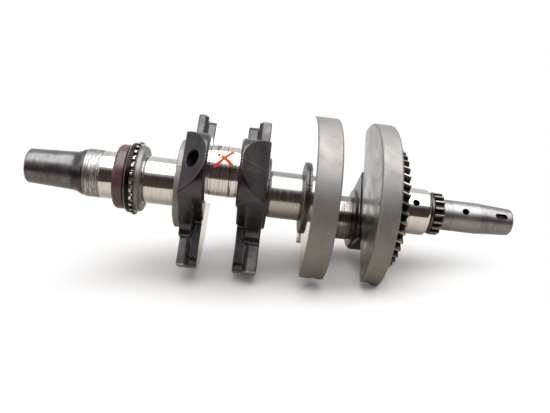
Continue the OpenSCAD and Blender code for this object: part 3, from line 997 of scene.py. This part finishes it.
def make_webs():
    """All four webs. A flange is its two ends along X, and whether its outside is turned too."""
    raw, rim = forged_steel("forged_steel"), machined_steel("machined_steel")
    bore = shaded_bore_steel("shaded_bore_steel")
    bright = faced_steel("faced_steel", (0.92, 0.91, 0.9), 0.07, 0.3)
    wear_and_sheen = faced_steel("worn_faced_steel", (0.31, 0.3, 0.287), 0.24, 1.0)
    inner = (raw, bright, rim, bore)
    outer = (raw, wear_and_sheen, rim, bore)
    left_end, centre_left = span("main_journal_left")[1], span("main_journal_centre")[0]
    flange_1 = (left_end - 1, left_end + 5.2, True)
    flange_2 = (centre_left - 2.3, centre_left + 1, False)
    flange_3 = (-flange_2[1], -flange_2[0], False)
    flange_4 = (0, 0, False)
    left, right = gallery_line(-1), gallery_line(1)
    make_web("web_1", inner, "forged_web", PIN_1, 0.65, 6, flange_1, left)
    make_web("web_2", inner, "forged_web", PIN_1, 0.65, 6, flange_2)
    make_web("web_3", inner, "machined_web", PIN_2, 0.5, 2, flange_3)
    make_web("web_4", outer, "machined_web", PIN_2, 0.6, 3, flange_4, right, PIN_R + 0.5)


# ---------------------------------------------------------------- gears and sprockets

# One tooth each, as (share of the pitch, share of the height) points
GEAR_TOOTH = [
    (0.0, 0), (0.1, 0), (0.18, 0.1), (0.34, 0.75), (0.43, 1),
    (0.57, 1), (0.66, 0.75), (0.82, 0.1), (0.9, 0),
]
TIMING_TOOTH = [
    (0.0, 0), (0.16, 0.05), (0.26, 0.4), (0.36, 0.92), (0.42, 1),
    (0.58, 1), (0.64, 0.92), (0.74, 0.4), (0.84, 0.05),
]
CHAIN_TOOTH = [
    (0.0, 0), (0.1, 0.05), (0.22, 0.5), (0.34, 0.95), (0.42, 1),
    (0.58, 1), (0.66, 0.95), (0.78, 0.5), (0.9, 0.05),
]
HELIX = math.radians(20)


def make_balancer_gear():
    """The helical gear, with a hub that stands out from its recessed right face."""
    x0, x1 = span("balancer_drive_gear")
    teeth, outer, depth, edge, seat = 40, 51, 5.6, 0.8, GEAR_SEAT_R
    lead = math.tan(HELIX) / outer
    outline = [
        (x0, seat + 0.4), (x0, outer - depth), (x0, outer - edge, 1), (x0 + edge, outer, 1),
        (x1 - edge, outer, 1), (x1, outer - edge, 1), (x1, outer - depth),
        (x1, outer - depth - 5), (x1 - 2, outer - depth - 6), (x1 - 2, seat + 6),
        (x1, seat + 5), (x1, seat + 0.5), (x1 - 0.5, seat), (x0 + 0.4, seat),
    ]
    mesh = turned(outline, 0.15, 1.5, teeth=(teeth, GEAR_TOOTH, depth - edge, lead))
    piece = keep("balancer_gear", mesh)
    matter = toothed_steel("gear_steel", (0.15, 0.133, 0.123), outer - depth, outer)
    finish(piece, "balancer_drive_gear", matter)


def make_timing_sprocket():
    """The cam chain's sprocket, with a plain hub on its left."""
    x0, x1 = span("timing_sprocket")
    outer, depth = 18.2, 3
    step = x0 + 2.5
    outline = [
        (x0, SHAFT_R + 0.3), (x0, outer - 1.1), (x0 + 0.5, outer - 0.6),
        (step, outer - 0.6), (step, outer - depth), (step + 0.2, outer - 0.5, 1),
        (step + 0.8, outer, 1), (x1 - 0.8, outer, 1), (x1 - 0.1, outer - 0.6, 1),
        (x1, outer - depth - 0.3), (x1, SHAFT_R + 0.3), (x1 - 0.3, SHAFT_R), (x0 + 0.3, SHAFT_R),
    ]
    mesh = turned(outline, 0.12, 1.5, teeth=(18, TIMING_TOOTH, depth, 0))
    piece = keep("cam_chain_sprocket", mesh)
    matter = toothed_steel("timing_steel", (0.12, 0.113, 0.109), outer - depth, outer)
    finish(piece, "timing_sprocket", matter)


def make_pump_sprocket():
    """The oil pump's sprocket: a thin toothed ring beside a plain hub."""
    x0, x1 = span("pump_drive_sprocket")
    outer, hub_r, depth = 31, 29.5, 2.6
    step = x0 + 4.5
    outline = [
        (x0, MAIN_R + 0.3), (x0, hub_r - 1.5), (x0 + 1.5, hub_r), (step, hub_r),
        (step, outer - depth), (step + 0.3, outer - 0.9, 1), (step + 1.1, outer, 1),
        (x1 - 1.1, outer, 1), (x1 - 0.3, outer - 0.9, 1), (x1, outer - depth),
        (x1, MAIN_R + 0.3), (x1 - 0.3, MAIN_R), (x0 + 0.3, MAIN_R),
    ]
    mesh = turned(outline, 0.2, 1.5, teeth=(28, CHAIN_TOOTH, depth, 0))
    piece = keep("pump_sprocket", mesh)
    matter = toothed_steel("sprocket_steel", (0.3, 0.29, 0.28), hub_r + 0.1, outer, 0.3)
    finish(piece, "pump_drive_sprocket", matter)


def make_collar():
    """The plain collar beside the pump's sprocket."""
    x0, x1 = span("sprocket_collar")
    outer, chamfer = 27.5, 1
    outline = [
        (x0, MAIN_R), (x0, outer), (x1 - chamfer, outer), (x1, outer - chamfer), (x1, MAIN_R),
    ]
    piece = keep("sprocket_collar_ring", turned(outline, 0.2, 1.5, 180))
    matter = satin_steel("collar_steel", (0.24, 0.23, 0.222), 0.46)
    finish(piece, "sprocket_collar", matter)


# ---------------------------------------------------------------- the oil seal


def make_seal():
    """The rubber round the seal's case, with its lip and the nick in its front."""
    x0, x1 = span("seal_rubber")
    outer = 27
    case_out, case_in, case_foot = 26, 24.8, 23.2
    case_left, case_right = x0 + 1, x1 - 1
    step = case_left + 1.2
    outline = [
        (x0 + 0.6, MAIN_R + 0.4), (x0, MAIN_R + 2.2), (x0, outer - 2.2), (x0 + 0.8, outer - 0.8),
        (x0 + 2.5, outer), (x1 - 0.6, outer), (x1, outer - 0.6), (x1, case_in),
        (case_right, case_in), (case_right, case_out), (case_left, case_out),
        (case_left, case_foot), (step, case_foot), (step + 2.4, MAIN_R + 2.6),
        (x1 - 1.6, MAIN_R + 2.4), (x1 - 1, MAIN_R + 1), (x1 - 2.4, MAIN_R + 0.05),
        (x0 + 3, MAIN_R + 1.4),
    ]
    piece = keep("seal_body", turned(outline, 0.25, 1.0, 200), "seal")
    nick = [(x0 + 2.6, 0), (x0 + 3.4, 0.35), (x0 + 5.6, 0.5), (x0 + 6.6, 0)]
    front = about_x(math.pi - CAMERA_ELEVATION) * outer
    cut(piece, turned(nick, 0.1, 1.0, 16, (front.y, front.z)))
    finish(piece, "seal_rubber", rubber("seal_rubber"), 40)


# ---------------------------------------------------------------- the paint mark


PAINT_H = 0.05
STROKE_STEP = 0.6


def stroke(made, points, width):
    """A thin painted stroke on crankpin 1, through (x, arc) points in mm.

    x is measured from the crankpin's middle, and arc round it, upwards from its front.
    """
    inner, outer = PIN_R - PAINT_H, PIN_R + PAINT_H
    rows = []
    for i, (x, arc) in enumerate(points):
        ahead = points[min(i + 1, len(points) - 1)]
        behind = points[max(i - 1, 0)]
        along = Vector((ahead[0] - behind[0], ahead[1] - behind[1])).normalized()
        across = Vector((-along.y, along.x))
        ends = min(1, 0.35 + 0.65 * min(i, len(points) - 1 - i) / 3)
        row = []
        for sign, r in ((1, inner), (1, outer), (-1, outer), (-1, inner)):
            waver = noise.noise(Vector((x * 1.7, arc * 1.7, 3 * sign)))
            ragged = width / 2 * ends * (0.85 + 0.5 * waver)
            spot = Vector((x, arc)) + across * sign * ragged
            angle = math.pi - spot.y / PIN_R
            place = PIN_1 + Vector((spot.x, r * math.cos(angle), r * math.sin(angle)))
            row.append(made.verts.new(place * MM))
        rows.append(row)
    for a, b in zip(rows, rows[1:]):
        for i in range(4):
            j = (i + 1) % 4
            made.faces.new((a[i], a[j], b[j], b[i]))
    made.faces.new(reversed(rows[0]))
    made.faces.new(rows[-1])


def make_paint_mark():
    """The fitter's orange cross on crankpin 1."""
    made = bmesh.new()
    strokes = (
        ((-5.4, 17.9), (0.3, 15.0), (6.6, 9.4), 3.4),
        ((6.8, 22.0), (0.3, 15.2), (-6.9, 6.4), 3.1),
    )
    for start, middle, end, width in strokes:
        stroke(made, stepped([start, middle, end], STROKE_STEP), width)
    bmesh.ops.recalc_face_normals(made, faces=made.faces)
    mesh = bpy.data.meshes.new("paint_mark")
    made.to_mesh(mesh)
    made.free()
    piece = keep("paint_mark", mesh)
    smooth(piece)
    mesh.materials.append(paint("marking_paint"))


for make in (
    make_pto_taper, make_seal_journal, make_journals, make_crankpins, make_right_journal,
    make_shaft, make_flywheel_taper, make_webs, make_balancer_gear, make_timing_sprocket,
    make_pump_sprocket, make_collar, make_seal, make_paint_mark,
):
    make()

# The inner pieces keep their CAD shapes
plain = machined_steel("plain_steel", 0.35, (0.5, 0.49, 0.48))
for node in (
    "gear_dowel_pin", "gallery_plug_1", "gallery_plug_2", "gallery_end_plug", "seal_case",
    "seal_garter_spring",
):
    frame["nodes"][node].data.materials.clear()
    frame["nodes"][node].data.materials.append(plain)
